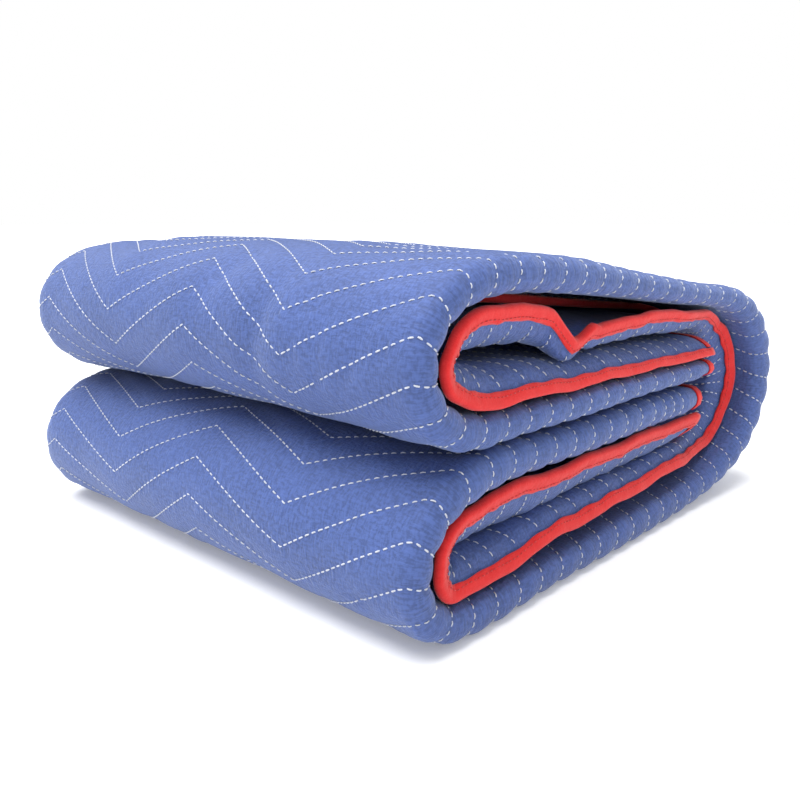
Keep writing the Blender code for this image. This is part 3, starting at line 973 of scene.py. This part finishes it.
class BLANKET_OT_thread(bpy.types.Operator):
    """Sew the quilting lines as single stitches, and the seam that holds the tapes"""

    bl_idname = "blanket.thread"
    bl_label = "Quilting thread"

    def execute(self, context):
        sizes = context.scene.blanket_sizes
        cloth = FoldedCloth(sizes)
        colours = context.scene.blanket_colours
        last = cloth.length - SEAMS_ROOM
        seams = np.arange(sizes.first_seam + sizes.seam_spacing, last, sizes.seam_spacing)
        # Spans across the cloth that are sewn: its outside, the loops at the second edge, the first edge
        outer = np.arange(cloth.start(NEAR_ROLL) - 0.012, cloth.start(INNER_PANEL) + 0.004, LINE_STEP)
        edge = cloth.width - sizes.tape_reach - TAPE_ROOM
        inner = np.arange(cloth.start(INNER_PANEL) + 0.30, edge, LINE_STEP)
        first = np.arange(sizes.tape_reach + TAPE_ROOM, 0.060, LINE_STEP)
        white = spun_thread("spun_polyester_thread", colours.thread)
        middle = cloth.length / 2
        for name, rows, spans in (
            ("quilting_thread_upper", seams[seams < middle], (outer,)),
            ("quilting_thread_lower", seams[seams >= middle], (outer,)),
            ("quilting_thread_inner", seams, (inner, first)),
        ):
            lines = []
            for row in rows:
                for w in spans:
                    u = row + cloth.shift(row, w)
                    h = cloth.half_sheet(u, w) + cloth.relief(np.full_like(w, row), w)
                    lines.append((u, w, h))
            points, faces = stitches(
                cloth, lines, sizes.stitch_pitch, sizes.stitch_length, sizes.thread, 0.0001
            )
            thread = mesh_object(name, points, faces.tolist(), white)
            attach(thread, "root")
        red = spun_thread("spun_polyester_thread_red", tuple(0.85 * c for c in colours.tape))
        lines = []
        along = np.arange(0.004, cloth.length - 0.004, TAPE_LINE_STEP)
        top = EDGE_SHEET / 2 + TAPE_GAP + sizes.tape_wall + TAPE_SEAM_LIFT
        for w in (sizes.tape_reach - TAPE_SEAM_IN, cloth.width - sizes.tape_reach + TAPE_SEAM_IN):
            for h in (top, -top):
                lines.append((along, np.full_like(along, w), np.full_like(along, h)))
        points, faces = stitches(cloth, lines, *TAPE_STITCH, 0.0)
        seam = mesh_object("tape_seam_thread", points, faces.tolist(), red)
        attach(seam, "root")
        return {"FINISHED"}


def soft_studio():
    """A studio lit by a large soft ceiling: white as a backdrop, and as light bright from above and dim
    from the sides."""
    world = bpy.data.worlds.new("soft_studio")
    world.use_nodes = True
    tree = world.node_tree
    way = add_node(tree, "ShaderNodeTexCoord").outputs["Generated"]
    parts = add_node(tree, "ShaderNodeSeparateXYZ", {"Vector": way})
    level = add_node(
        tree, "ShaderNodeMapRange", {"Value": parts.outputs["Z"]}, {"interpolation_type": "SMOOTHSTEP"},
        i1=0.05, i2=0.85, i3=0.16, i4=1.0,
    )
    seen = add_node(tree, "ShaderNodeLightPath").outputs["Is Camera Ray"]
    shown = calculate(tree, "MAXIMUM", level.outputs[0], seen)
    back = tree.nodes["Background"]
    back.inputs["Color"].default_value = (1, 1, 1, 1)
    tree.links.new(shown, back.inputs["Strength"])
    return world


class BLANKET_OT_stage(bpy.types.Operator):
    """Lay a pale floor, light it softly from above and a little from the left, and set up the camera"""

    bl_idname = "blanket.stage"
    bl_label = "Stage, light and camera"

    def execute(self, context):
        scene = context.scene
        colours = scene.blanket_colours
        material, tree, shader = new_material("painted_matt_floor")
        grain = add_node(tree, "ShaderNodeTexNoise", Scale=1 / 0.05, Detail=2.0)
        shade = map_range(tree, grain.outputs[0], 0.0, 1.0, 0.98, 1.0)
        tree.links.new(blend(tree, shade, (0.82, 0.82, 0.82), colours.floor), shader.inputs["Base Color"])
        shader.inputs["Roughness"].default_value = 0.9
        # Painted light: the floor glows by itself, which lightens the shadows cast on it and throws light
        # up onto the blanket
        shader.inputs["Emission Color"].default_value = (1, 1, 1, 1)
        shader.inputs["Emission Strength"].default_value = FLOOR_GLOW
        shader.inputs["Specular IOR Level"].default_value = 0.2
        half = FLOOR_HALF
        corners = [(-half, -half, 0), (half, -half, 0), (half, half, 0), (-half, half, 0)]
        floor = mesh_object("floor", corners, [(0, 1, 2, 3)], material, False)
        floor.location.z = -FLOOR_DROP
        scene.world = soft_studio()
        for name, heading, strength, spread in LIGHTS:
            light = bpy.data.lights.new(name, "SUN")
            light.energy = strength
            light.angle = math.radians(spread)
            lamp = bpy.data.objects.new(name, light)
            lamp.rotation_mode = "QUATERNION"
            lamp.rotation_quaternion = Vector(heading).to_track_quat("-Z", "Y")
            scene.collection.objects.link(lamp)
        camera = bpy.data.cameras.new("camera")
        camera.sensor_width = SENSOR
        camera.lens = LENS
        view = bpy.data.objects.new("camera", camera)
        yaw, pitch = math.radians(CAMERA_TURN), math.radians(CAMERA_TILT)
        ahead = Vector((math.sin(yaw) * math.cos(pitch), math.cos(yaw) * math.cos(pitch), -math.sin(pitch)))
        right = Vector((math.cos(yaw), -math.sin(yaw), 0))
        turn = Matrix((right, right.cross(ahead), -ahead)).transposed().to_4x4()
        turn.translation = Vector(CAMERA_PLACE)
        view.matrix_world = turn
        scene.collection.objects.link(view)
        scene.camera = view
        scene.view_settings.view_transform = "Standard"
        return {"FINISHED"}


class BLANKET_OT_declare(bpy.types.Operator):
    bl_idname = "blanket.declare"
    bl_label = "Declare the cloth"

    def execute(self, context):
        cloth = FoldedCloth(context.scene.blanket_sizes)
        return {"FINISHED"}


class BLANKET_PT_panel(bpy.types.Panel):
    """Sizes, colours and steps of the blanket"""

    bl_label = "Moving blanket"
    bl_space_type = "VIEW_3D"
    bl_region_type = "UI"
    bl_category = "Blanket"

    def draw(self, context):
        for group in (context.scene.blanket_sizes, context.scene.blanket_colours):
            box = self.layout.box()
            for name in group.bl_rna.properties.keys():
                if name not in ("rna_type", "name"):
                    box.prop(group, name)
        for step in STEPS:
            self.layout.operator(step.bl_idname)


STEPS = (BLANKET_OT_stage, BLANKET_OT_pad, BLANKET_OT_tapes, BLANKET_OT_thread, BLANKET_OT_declare)
CLASSES = (BlanketSizes, BlanketColours, *STEPS, BLANKET_PT_panel)


def register():
    for cls in CLASSES:
        bpy.utils.register_class(cls)
    bpy.types.Scene.blanket_sizes = PointerProperty(type=BlanketSizes)
    bpy.types.Scene.blanket_colours = PointerProperty(type=BlanketColours)


def unregister():
    del bpy.types.Scene.blanket_colours
    del bpy.types.Scene.blanket_sizes
    for cls in reversed(CLASSES):
        bpy.utils.unregister_class(cls)


def main():
    """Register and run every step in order."""
    register()
    bpy.ops.blanket.stage()
    bpy.ops.blanket.pad()
    bpy.ops.blanket.tapes()
    bpy.ops.blanket.thread()
    bpy.ops.blanket.declare()


if __name__ == "__main__":
    main()
